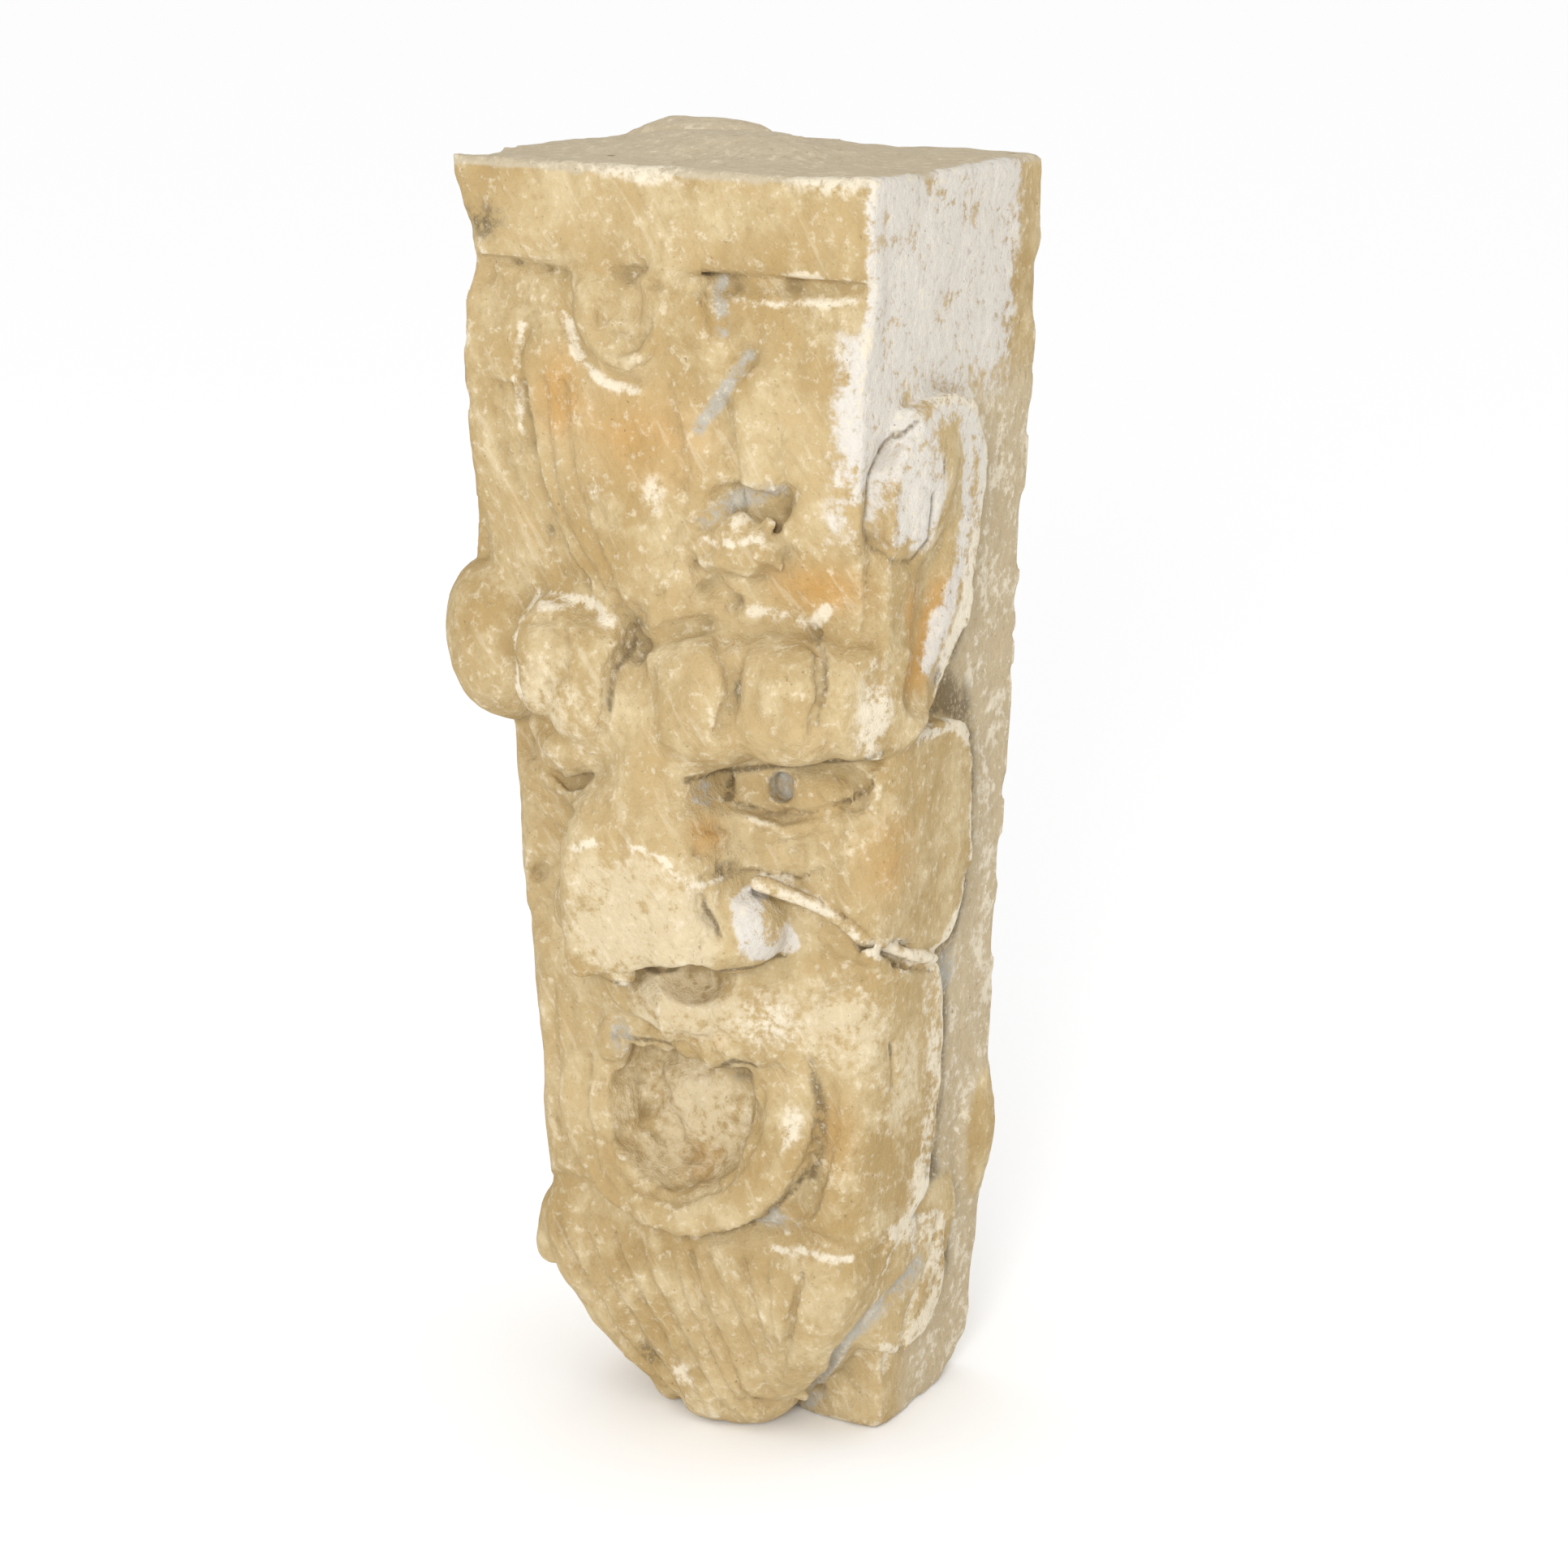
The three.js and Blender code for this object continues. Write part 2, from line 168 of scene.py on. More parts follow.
def half_space(origin, outward):
    """All that is behind a flat cut through the origin, which faces outward."""
    size = math.hypot(*outward)

    def distance(across, forward, up):
        parts = zip((across, forward, up), origin, outward)
        return sum((place - start) * way for place, start, way in parts) / size

    return distance, REACH_LOW, REACH_HIGH


def between_sides(reach):
    """All that is no further from the centre plane than the reach."""
    def distance(across, forward, up):
        return abs(across) - reach

    return distance, REACH_LOW, REACH_HIGH


def common(first, second):
    """What two forms share."""
    def distance(across, forward, up):
        return np.maximum(first[0](across, forward, up), second[0](across, forward, up))

    return distance, np.maximum(first[1], second[1]), np.minimum(first[2], second[2])


def smooth_union(first, second, blend):
    overlap = np.maximum(blend - abs(first - second), 0) / blend
    return np.minimum(first, second) - overlap * overlap * blend / 4


def smooth_common(first, second, blend):
    """What two forms share, rounded over where they meet."""
    shape = common(first, second)

    def distance(across, forward, up):
        return -smooth_union(-first[0](across, forward, up), -second[0](across, forward, up), blend)

    return distance, shape[1], shape[2]


def smooth_cut(body, tool, blend):
    return -smooth_union(-body, tool, blend)


# The plain block, with its front as (up, forward) points

FRONT_PROFILE = np.array([
    (0, FOOT),
    (9, FOOT + 0.6),
    (18, 20.4),
    (45, 22.4),
    (62, 23.6),
    (69, 24.6),
    (75, 26.1),
    (86, 26.4),
    (BAND_BOTTOM, FRONT - BAND_SET_BACK),
])


def smooth_step(value, low, high):
    share = np.clip((value - low) / (high - low), 0, 1)
    return share * share * (3 - 2 * share)


def section(across, forward, half, front, rounding):
    """The distance from an upright body with square back corners and rounded front corners."""
    sideways = abs(across) - (half - rounding)
    ahead = forward - (front - rounding)
    corner = np.hypot(np.maximum(sideways, 0), np.maximum(ahead, 0))
    return corner + np.minimum(np.maximum(sideways, ahead), 0) - rounding


def block(across, forward, up):
    front = np.where(up < BAND_BOTTOM, np.interp(up, *FRONT_PROFILE.T), FRONT)
    rounding = ARRIS + CORNER_ROUNDING * smooth_step(up, 8, 14) * (1 - smooth_step(up, 58, 70))
    body = section(across, forward, HALF, front, rounding)
    return np.maximum(np.maximum(body, -forward), np.maximum(-up, up - TOP))


# The carving, in the order it is worked. Sides are as seen from the front, with the right on +X.

axes = [np.arange(low, high + CELL / 2, CELL) for low, high in zip(REACH_LOW, REACH_HIGH)]
axes[0] -= axes[0].mean()
grid_low = np.array([axis[0] for axis in axes])
field = block(axes[0][:, None, None], axes[1][None, :, None], axes[2][None, None, :]).astype(np.float32)

WHOLE = "whole"
BOTH = "both"
LEFT = "left"
RIGHT = "right"


def work(side, blend, shape, join):
    """Join a form to the cells around it, on the side or sides named."""
    distance, low, high = shape
    views = {WHOLE: (field,), BOTH: (field, field[::-1]), LEFT: (field[::-1],), RIGHT: (field,)}[side]
    first, last = [], []
    margin = 2 * blend + WORK_MARGIN
    for axis, start, end in zip(axes, low - margin, high + margin):
        first.append(int(np.searchsorted(axis, start)))
        last.append(int(np.searchsorted(axis, end)))
    if side != WHOLE:
        first[0] = max(first[0], len(axes[0]) // 2)
    cells = tuple(slice(start, end) for start, end in zip(first, last))
    tool = distance(
        axes[0][cells[0], None, None], axes[1][None, cells[1], None], axes[2][None, None, cells[2]]
    )
    for view in views:
        view[cells] = join(view[cells], tool, blend)


def add(side, blend, shape):
    work(side, blend, shape, smooth_union)


def cut(side, blend, shape):
    work(side, blend, shape, smooth_cut)


def head(front):
    """The rounded front of the head, which the cheeks, jowls and leaves lie in."""
    def distance(across, forward, up):
        return section(across, forward, PROUD, front, HEAD_ROUND)

    return distance, REACH_LOW, REACH_HIGH


def through(outline):
    """A form that is drawn on the centre plane, carried right through the stone from side to side."""
    distance, low, high = outline

    def pressed(across, forward, up):
        return distance(0 * across, forward, up)

    return pressed, np.array([-PROUD, *low[1:]]), np.array([PROUD, *high[1:]])


# What stands proud of the joint strip on each side
EAR = through(lock([0, 16.6, 76.8, 7.2], [0, 17.4, 69, 6.6], [0, 19.2, 63.4, 4.5]))
CHEEK = through(form([0, 15.8, 49.2], [ENDLESS, 7.6, 9.6], 3))
JOWL = through(form([0, 17.4, 29.4], [ENDLESS, 7, 11.8], 3))
SIDE_LEAF = through(form([0, 12.8, 12.4], [ENDLESS, 5.4, 5.6], 2.6))


def carve_forehead():
    add(WHOLE, 1.5, common(form([-1.5, 14, 76], [25, 14.2, 26]), between_sides(HALF - 1)))
    add(WHOLE, 2, lock([0, 22.3, 71, 6], [0, 24.4, 64.5, 5.2]))
    add(WHOLE, 0.4, lock([-5.6, 25.6, 92, 1.5], [-5.2, 26, 88.8, 1.6], [-3.4, 26.3, 86.6, 1.7],
                         [-1, 26.4, 86.2, 1.7], [1.4, 26.2, 87.8, 1.5]))
    add(WHOLE, 0.4, form([2, 25.6, 89.7], [3.2, 1.8, 3.2], 3))
    cut(WHOLE, 0.3, lock([4.6, 26.8, 92, 1.1], [5.2, 27, 88.6, 0.7]))
    cut(WHOLE, 0.3, lock([7.2, 26.6, 87.2, 1], [5.4, 27.4, 84.2, 0.7], [3.9, 27.9, 81.6, 0.4]))
    cut(WHOLE, 0.3, lock([4, 28.4, 73.9, 0.7], [6.6, 27.6, 76.8, 1.5], [9.8, 26.8, 76.4, 1.3],
                         [11.2, 26.8, 77.8, 0.7]))
    cut(WHOLE, 0.6, form([8.8, 28.3, 71.4], [1.6, 1.5, 3]))


def carve_eyes():
    add(WHOLE, 1.5, form([0, 14, 50], [15, 13.2, 21]))
    add(BOTH, 0.4, common(CHEEK, head(24)))
    cut(BOTH, 0.5, lock([5.6, 27, 54.5, 2.2], [9.8, 25.8, 54.5, 3], [14.4, 23.6, 54.8, 2.3]))
    add(BOTH, 0.2, form([10, 20.3, 54.4], [4.9, 3.8, 2.5], 2.3))
    add(BOTH, 0.2, lock([5.8, 25.2, 52.4, 0.5], [10, 24.4, 51.5, 0.6], [14.8, 22.4, 52.8, 0.5]))
    cut(BOTH, 0.3, form([5, 26.4, 54.6], [1.1, 3, 1.4]))


def carve_brows():
    add(BOTH, 0.4, form([4.7, 25, 61.8], [4.3, 5.6, 5.4], 2.9))
    add(BOTH, 0.6, lock([4.4, 26.2, 60, 3.4], [3.3, 27, 57.7, 2.3]))
    add(RIGHT, 0.5, form([11.2, 24.2, 62.2], [4.6, 5.4, 5], 2.8))
    add(RIGHT, 0.5, form([15.4, 22, 62.1], [3.9, 5.2, 4.6], 2.8))
    add(LEFT, 0.4, form([8.6, 25, 63], [3.8, 5.4, 5.4], 2.4))
    add(LEFT, 0.4, form([15.4, 22.8, 63.2], [5, 5.4, 6.4], 2.3))
    cut(WHOLE, 0.5, lock([-0.6, 29.6, 67.6, 1.6], [-0.5, 29.6, 60, 0.9]))
    cut(RIGHT, 0.2, common(half_space([17.4, 24, 62], [-1, -0.35, 0]), form([20, 25, 61.5], [5, 5, 7])))
    cut(BOTH, 0.2, lock([4, 28.2, 54.6, 0.4], [6.4, 26.6, 55.6, 0.7], [11, 25.4, 56.4, 0.8],
                        [15.6, 23.2, 57, 0.6]))


def carve_nose():
    add(WHOLE, 1.2, lock([0, 26.8, 60, 2.7], [0, 27.4, 52, 4]))
    add(WHOLE, 1.2, form([-0.4, 24, 45.4], [7.6, 8.8, 10.4], 2.8))
    add(BOTH, 0.7, form([6.2, 25.1, 43.8], [4.2, 4.2, 3.6]))
    cut(WHOLE, 0.5, common(half_space([0, 32, 50], [0, -1, 0.13]), half_space([0, 0, 53], [0, 0, 1])))
    cut(WHOLE, 0.4, common(half_space([0, 27, 41.4], [-0.25, 0.2, 1]), form([0, 30, 38], [9.5, 5.5, 5])))
    cut(BOTH, 0.5, form([4.6, 26.6, 39.6], [2.4, 2.6, 1.9]))


def carve_cheeks():
    add(BOTH, 0.8, form([9.8, 16.6, 37.5], [6.6, 6.8, 8.5]))
    add(BOTH, 0.4, common(JOWL, head(23.4)))
    cut(LEFT, 0.4, lock([6.6, 27.8, 49.4, 0.5], [9, 26, 47.6, 0.8], [12.6, 24, 46, 0.9],
                        [15, 22.6, 44, 0.7]))
    cut(RIGHT, 0.4, lock([6.6, 27.8, 49.4, 0.5], [9, 26, 47.6, 0.8], [12.6, 24, 46, 0.9],
                         [15.8, 22, 43.3, 0.9], [PROUD + 0.5, 16, 40.6, 1], [PROUD + 0.5, 8, 39.4, 1]))


# The ring around the mouth: the height of its middle and its radii across and up
RING_UP = 28.2
RING_RADII = (13.3, 10.4)


def carve_mouth():
    plate = form([0, 0, RING_UP], [RING_RADII[0], ENDLESS, RING_RADII[1]])
    front = half_space([0, 24.4, RING_UP], [0, 1, 0.25])
    cut(BOTH, 0.4, lock([14, 23.8, 36, 0.9], [14.5, 23.4, 28, 1.2], [12.6, 23.6, 21.6, 1.3],
                        [6.4, 24.6, 17.4, 1]))
    add(WHOLE, 0.2, smooth_common(common(plate, half_space([0, 10, 0], [0, -1, 0])), front, 1.8))
    cut(WHOLE, 0.5, form([0, 27, 28.6], [9.4, 3.2, 8.6]))
    cut(WHOLE, 0.3, form([0, 25, 28.7], [7.7, 5.8, 7.5]))
    add(WHOLE, 0.6, form([-2.2, 18.6, 27], [4, 2.4, 5]))
    add(WHOLE, 0.4, form([2.8, 18, 26.2], [3.6, 2.4, 4.2]))
    add(BOTH, 1, lock([0, 22.8, 37, 3.9], [9.6, 21, 36.4, 3.2]))
    add(WHOLE, 0.7, lock([-4, 22.4, 34.2, 2.3], [4, 22.4, 33.8, 2.3], [9.6, 21.6, 34.2, 2.5]))


def carve_beard():
    outline = form([0, 0, 16], [17.4, ENDLESS, 17], 1.7)
    lean = smooth_common(half_space([0, 21, 0], [0, 1, -0.24]), half_space([0, 24.6, 15], [0, 1, 0.6]), 3)
    add(WHOLE, 0.4, smooth_common(common(outline, half_space([0, 6, 0], [0, -1, 0])), lean, 4))
    add(BOTH, 0.3, common(SIDE_LEAF, head(19.5)))
    add(LEFT, 0.6, lock([12.5, 18.5, 17.6, 3.2], [16, 20, 15.2, 2.4], [17, 20.8, 12.6, 1.8]))
    add(RIGHT, 0.3, lock([17, 17, 17.4, 1], [12.4, 18.6, 12.6, 2.4], [9, 18.2, 5, 1.8]))
    cut(RIGHT, 0.3, lock([18.2, 12.7, 14, 0.9], [17.4, 18, 11.9, 0.9], [15, 20, 9, 0.8],
                         [10.8, 18, 4.4, 0.9], [8.1, 15.6, 0.4, 1]))


def carve_ears():
    add(BOTH, 0.3, common(EAR, between_sides(PROUD)))
    cut(BOTH, 0.4, lock([PROUD + 1.9, 17, 73.5, 2.9], [PROUD + 2, 17.6, 67.5, 3],
                        [PROUD + 1.9, 19.6, 62.6, 2.4]))
    add(BOTH, 0.3, form([PROUD - 1, 18.8, 77.6], [1.6, 4.4, 6.2], 2.6))


def leave_rough_ends():
    cut(LEFT, 0.4, half_space([16, 11.5, 2.6], [-5.3, -3.8, 7.2]))
    add(RIGHT, 1, form([15.2, 1.4, 21.4], [2.4, 2.6, 6]))
    cut(RIGHT, 0.4, half_space([HALF, 0, 3.4], [-1, 0.6, 0.9]))
    length = RIDGE_LENGTH / TOP_WIDTH * HALF
    width = RIDGE_WIDTH / FORWARD_STEP / 2
    add(WHOLE, 0.4, form([length - HALF, width, TOP], [length, width, RIDGE_HEIGHT / UP_STEP]))


def drill_pupils():
    radius = PUPIL_DIAMETER / 2 / UP_STEP
    depth = PUPIL_DEPTH / FORWARD_STEP
    hole = form(PUPIL, [radius, ENDLESS, radius])
    cut(BOTH, 0.1, common(hole, half_space([0, PUPIL[1] - depth, 0], [0, -1, 0])))


def uneven(size, seed):
    """Smooth random values from -1 to 1 over all the cells, in lumps of the size given in grid steps."""
    counts = [int(np.ptp(axis) / size) + 3 for axis in axes]
    values = np.random.default_rng(seed).uniform(-1, 1, counts).astype(np.float32)
    for number, axis in enumerate(axes):
        whole, share = np.divmod((axis - axis[0]) / size, 1)
        shape = [1, 1, 1]
        shape[number] = -1
        share = smooth_step(share, 0, 1).astype(np.float32).reshape(shape)
        low = whole.astype(int)
        values = values.take(low, axis=number) * (1 - share) + values.take(low + 1, axis=number) * share
    return values


def blurred(values, size):
    """Each cell as the average of its neighbours up to the given number of grid steps away."""
    reach = max(1, round(size / CELL))
    for number in range(3):
        widths = [(0, 0), (0, 0), (0, 0)]
        widths[number] = (reach + 1, reach)
        padded = np.pad(values, widths, mode="edge")
        total = np.cumsum(padded, axis=number, dtype=np.float64)
        last = total.take(range(2 * reach + 1, total.shape[number]), axis=number)
        first = total.take(range(total.shape[number] - 2 * reach - 1), axis=number)
        values = ((last - first) / (2 * reach + 1)).astype(np.float32)
    return values


# Lines are cut along the surface as it is when they are drawn

hand = np.random.default_rng(7)


def last_inside(row, axis):
    """Where the carved surface is along a row of cells."""
    last = np.flatnonzero(row < 0)[-1]
    return axis[last] + CELL * row[last] / (row[last] - row[last + 1])


def cell_of(place, axis):
    return round((place - axis[0]) / CELL)


def front_at(across, up):
    return last_inside(field[cell_of(across, axes[0]), :, cell_of(up, axes[2])], axes[1])


def side_at(forward, up):
    return last_inside(field[:, cell_of(forward, axes[1]), cell_of(up, axes[2])], axes[0])


def stepped(points):
    """More points along the same path."""
    steps = np.linspace(0, len(points) - 1, LINE_PIECES * len(points))
    return np.column_stack([np.interp(steps, range(len(points)), part) for part in np.transpose(points)])


def score(radius, depth, *points):
    """A line cut into the front along (across, up) points."""
    path = stepped(points)
    knots = [[across, front_at(across, up) + radius - depth, up, radius] for across, up in path]
    for start, end in zip(knots[:-1], knots[1:]):
        cut(WHOLE, LINE_BLEND, lock(start, end))


def score_side(radius, depth, *points):
    """A line cut into the side on the right along (forward, up) points."""
    path = stepped(points)
    knots = [[side_at(forward, up) + radius - depth, forward, up, radius] for forward, up in path]
    for start, end in zip(knots[:-1], knots[1:]):
        cut(WHOLE, LINE_BLEND, lock(start, end))


def fan(count, radius, depth, first, last):
    """Cut lines spread from the first path to the last, as uneven as a carver's hand leaves them."""
    first, last = np.array(first, float), np.array(last, float)
    for number in range(count):
        share = np.clip((number + hand.uniform(*HAND_SHIFT)) / (count - 1), 0, 1)
        line_radius = radius * hand.uniform(*HAND_WIDTH)
        line_depth = depth * hand.uniform(*HAND_DEPTH)
        score(line_radius, line_depth, *(first + (last - first) * share))


# The lower lid of the right eye, a crack beside the nose and the outer edge of the ring around the mouth,
# as (across, up) points
LOWER_LID = ((6.1, 53.3), (8.5, 52.6), (11.8, 53), (14.4, 54.1), (16, 55.6))
NOSE_CRACK = ((6.1, 47.4), (6.3, 46), (7.2, 44.2))
RING_EDGE = [
    (RING_RADII[0] * math.cos(turn), RING_UP + RING_RADII[1] * math.sin(turn))
    for turn in np.radians(range(-150, 10, 15))
]

# The curl at the front of the ear, a line on the jowl and the groove of the leaf, as (forward, up) points
EAR_CURL = (
    (21.1, 82.6), (22.4, 81.4), (24.2, 78.9), (24.6, 75.4),
    (23.4, 72.8), (20.6, 72.2), (18.8, 73.6), (18.9, 77),
)
JOWL_LINE = ((18.9, 34.4), (18, 30.6))
LEAF_GROOVE = ((8.6, 16.6), (11, 12.6), (13.6, 9.4), (14, 5))


def draw_hair():
    score(0.5, 0.45, (-7.2, 88.5), (-5.9, 86.6), (-3.5, 85.2), (-1.2, 84.7), (0.5, 86), (1.4, 87.9))
    score(0.4, 0.4, (-10.5, 88), (-11.3, 85.6), (-11, 81), (-9.6, 76), (-7.2, 71.4))
    score(0.4, 0.4, (-7.5, 84.1), (-6.5, 78.9), (-5.1, 74.2), (-3, 70))
    score(0.7, 0.5, (3.4, 73), (4.3, 71.4), (5.3, 70.2), (6.9, 68.8))
    fan(4, 0.5, 0.5, [(-13.3, 83), (-13, 78), (-10.6, 73), (-8, 69.6)],
        [(-9, 84), (-8.6, 78), (-7, 73), (-4, 69)])
    fan(3, 0.45, 0.4, [(1.4, 84.5), (3, 79), (2.6, 73), (1.6, 69.6)],
        [(9.4, 83), (10.4, 78), (9.4, 72), (6.4, 68.6)])
    score(0.4, 0.4, (-3.9, 89.4), (-3.6, 87.8), (-2.4, 86.8), (-0.9, 87.4), (-0.3, 89))
    add(WHOLE, 0.3, form([7.6, 26.6, 73.2], [3.6, 1.7, 2.6], 1.7))


def draw_brows():
    add(LEFT, 0.3, lock([4.6, 27.2, 57.2, 2], [7.8, 27.2, 56.2, 2.1], [10.6, 25.6, 57.4, 1.7]))
    score(0.9, 0.8, (-2.6, 68.6), (-1.4, 66.8), (-0.8, 64.6))
    score(0.7, 0.6, (4.8, 67.4), (2.2, 66.8), (-0.4, 65.2))
    score(0.5, 0.5, (-1.4, 66.4), (-2, 63.6), (-2.2, 60.6), (-3, 58.4))
    score(0.6, 0.6, (6.3, 66.9), (8, 64.9), (8.3, 62.7), (7.6, 60))
    score(0.5, 0.55, (12.3, 67.5), (14.3, 66), (14.9, 63.9), (14.6, 60.9))
    score(0.5, 0.4, (-10.6, 67.3), (-11.2, 65.3), (-11.3, 63.1), (-10.5, 60.3))
    score(0.4, 0.3, (-9.6, 66.4), (-7.8, 67), (-6, 65.4), (-5.6, 63), (-7.4, 61.8), (-9.6, 63))


def draw_eyelid():
    score(0.35, 0.35, *LOWER_LID)
    score(0.35, 0.25, (6.6, 51.6), (9.1, 51.2), (13.3, 51.5), (16.2, 53))


def draw_cheeks():
    add(RIGHT, 0.2, lock([8.6, 26, 47.8, 0.5], [12.6, 23.7, 46.1, 0.6], [15.7, 21.5, 43.5, 0.6],
                         [PROUD - 0.1, 17.4, 41.2, 0.5], [PROUD - 0.1, 12.9, 39.6, 0.4]))
    score(0.4, 0.45, (8, 47), (9.5, 46.5), (12.6, 44.9), (15.3, 42.2))
    score_side(0.4, 0.4, (19.6, 41.2), (17.4, 40.2), (12.9, 38.7))
    score_side(0.4, 0.4, *JOWL_LINE)


def draw_nose():
    cut(WHOLE, 0.3, lock([1.2, 31, 40.9, 0.9], [3.4, 30.6, 40.8, 0.8]))
    cut(WHOLE, 0.3, form([2.6, 26.2, 39], [3.2, 2.8, 1.9], 1.6))
    add(WHOLE, 0.4, lock([-4.6, 28.4, 40.4, 1], [-1.6, 29.4, 39.9, 0.9]))
    score(0.35, 0.35, *NOSE_CRACK)


def draw_mouth():
    score(0.35, 0.35, *RING_EDGE)
    add(WHOLE, 1.2, form([1.6, 18.6, 26.6], [6.2, 3, 6]))
    score(0.4, 0.4, (-8, 29), (-7.8, 26.4), (-6.4, 23.2), (-3.2, 21.2), (1, 20.8), (6.1, 23.2), (8.2, 27),
          (8, 31))
    score(0.4, 0.3, (-6, 28.6), (-5.4, 25), (-2.6, 23), (1, 22.8), (4.4, 24.6))
    add(WHOLE, 0.4, form([-7, 23.4, 32], [1.6, 1.6, 2.6]))
    score(0.5, 0.4, (-9.6, 30.4), (-9.8, 26.2), (-7.6, 21.8), (-4, 19.6))


def draw_wrinkles():
    for side in (-1, 1):
        fan(3, 0.4, 0.35, [(side * 5.4, 52.2), (side * 10.3, 51.4), (side * 14.6, 52.8)],
            [(side * 6, 48.6), (side * 10.8, 47.6), (side * 15, 49.8)])


def draw_beard():
    fan(6, 0.5, 0.4, [(-14.5, 16), (-11.5, 11), (-7.5, 5), (-4, 1.4)],
        [(1, 15.6), (2.6, 11), (4.6, 6), (7.2, 2)])
    fan(4, 0.5, 0.36, [(2.4, 15.8), (5, 12.4), (7, 8), (8, 4)],
        [(13, 16.6), (12.4, 14), (11.4, 10.4), (9.6, 6.6)])


def draw_sides():
    score_side(0.35, 0.35, *EAR_CURL)
    score_side(0.5, 0.4, *LEAF_GROOVE)


def roughen(shape, size, height, seed):
    """Break up the surface inside a form with lumps of a size and height."""
    distance = shape[0](axes[0][:, None, None], axes[1][None, :, None], axes[2][None, None, :])
    field[:] += height * np.clip(-distance, 0, 1) * uneven(size, seed)


def break_edges():
    cut(WHOLE, 0.3, form([-1.2, 26.7, 100.5], [5.4, 1.1, 1.5]))
    cut(WHOLE, 0.3, form([13, 26.7, 100.6], [4.6, 1.1, 1.6]))
    roughen(form([0, 23, 28.7], [9, 9, 8.6]), size=1.5, height=0.42, seed=5)
    roughen(form([3, 23, 33.6], [11, 4, 2.6]), size=1.3, height=0.6, seed=6)
    roughen(form([3, 15, 0], [15, 12, 5]), size=2.4, height=0.9, seed=7)
    roughen(form([-15, 25, 95], [4, 4, 5]), size=2, height=0.8, seed=8)
    roughen(form([7, 27, 74], [6, 3, 5]), size=1.2, height=0.5, seed=9)


def wear_band():
    """The band's lower edge is worn round, more in some places than in others."""
    worn = np.clip(0.5 + uneven(size=4, seed=10), 0, 1)
    share = np.clip(1.3 - abs(axes[2] - BAND_BOTTOM) / 2, 0, 1) * worn
    near = np.clip(field, -3, 3)
    field[:] += share * (blurred(near, 1) - near)
    score(0.4, 0.35, (-14.3, 92.4), (-10, 92.2), (-7.4, 91.9), (-3.6, 92.2), (-0.2, 91.8))
    score(0.4, 0.3, (-0.2, 91.8), (5.3, 91.7), (11.2, 91.9), (14.9, 92.5))
    roughen(form([0, 25, 92.4], [16, 3, 1.6]), size=1.6, height=0.6, seed=11)


def weather_skin():
    """The whole skin is slightly uneven, and what stands out is chipped here and there."""
    lumps = [height * uneven(size, seed) for seed, (size, height) in enumerate(SKIN_LUMPS, 1)]
    field[:] += sum(lumps)
    bulge = blurred(np.clip(field, -1.5, 1.5), BULGE_REACH)
    chips = np.maximum(uneven(CHIP_SIZE, seed=4) + 0.1, 0)
    field[:] += CHIP_DEPTH * np.maximum(bulge - LEAST_BULGE, 0) * chips


def flatten_back_and_underside():
    field[:, axes[1] < 0, :] = 1
    field[:, :, axes[2] < 0] = 1


carve_forehead()
carve_eyes()
carve_brows()
carve_nose()
carve_cheeks()
carve_mouth()
carve_beard()
carve_ears()
leave_rough_ends()
draw_hair()
draw_brows()
draw_wrinkles()
draw_eyelid()
draw_nose()
draw_cheeks()
draw_mouth()
draw_beard()
draw_sides()
break_edges()
wear_band()
drill_pupils()
weather_skin()
flatten_back_and_underside()


def skin():
    """The carved surface as points on the grid and faces, with larger faces where it is nearly flat."""
    volume = openvdb.FloatGrid(FAR_CELLS)
    volume.copyFromArray(np.clip(field / CELL, -FAR_CELLS, FAR_CELLS).astype(np.float32))
    points, triangles, quads = volume.convertToPolygons(0.0, FLATNESS)
    return points * CELL + grid_low, triangles[:, ::-1].tolist() + quads[:, ::-1].tolist()


grid_points, faces = skin()
places = np.clip(to_stone(grid_points), *cad_box)
mesh = bpy.data.meshes.new("carved_stone")
mesh.from_pydata(places.tolist(), [], faces)
mesh.update()
mesh.shade_smooth()
stone = bpy.data.objects.new("carved_stone", mesh)
bpy.context.scene.collection.objects.link(stone)
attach(stone, "root")
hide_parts("keystone")


# Marks on the surface: values from 0 to 1 at each point of the mesh, which the material reads by name

across, forward, up = grid_points.T

# Lines on the front begin this far forward and lines on the side this far out, and fade in over some steps
FRONT_LINES_FROM = 14
SIDE_LINES_FROM = 12
LINE_FADE = 2


def at_points(values):
    """The cells' values at the points of the mesh."""
    whole, share = np.divmod((grid_points - grid_low) / CELL, 1)
    low = whole.astype(int)
    total = 0
    for corner in np.ndindex(2, 2, 2):
        weight = np.prod(np.where(corner, share, 1 - share), axis=1)
        cells = np.minimum(low + corner, np.array(values.shape) - 1)
        total = total + weight * values[tuple(cells.T)]
    return total


def spot(centre, radii):
    """A soft spot: 1 in the middle, 0 at its edge and negative outside."""
    return 1 - np.linalg.norm((grid_points - centre) / radii, axis=1)


def line(width, *points):
    """A soft line: 1 along the (across, forward, up) points and 0 at its edges."""
    distance = lock(*[[*point, width] for point in points])[0]
    return -distance(*grid_points.T) / width


def front_line(width, *points):
    """A soft line along (across, up) points, wherever the front is under them."""
    distance = lock(*[[across, 0, up, width] for across, up in points])[0]
    return np.minimum(-distance(across, 0, up) / width, (forward - FRONT_LINES_FROM) / LINE_FADE)


def side_line(width, *points):
    """A soft line along (forward, up) points on the side on the right."""
    distance = lock(*[[0, forward, up, width] for forward, up in points])[0]
    return np.minimum(-distance(0, forward, up) / width, (across - SIDE_LINES_FROM) / LINE_FADE)


def where_all(*values):
    """The lowest of several soft values, which is their common area."""
    return np.min(values, axis=0)


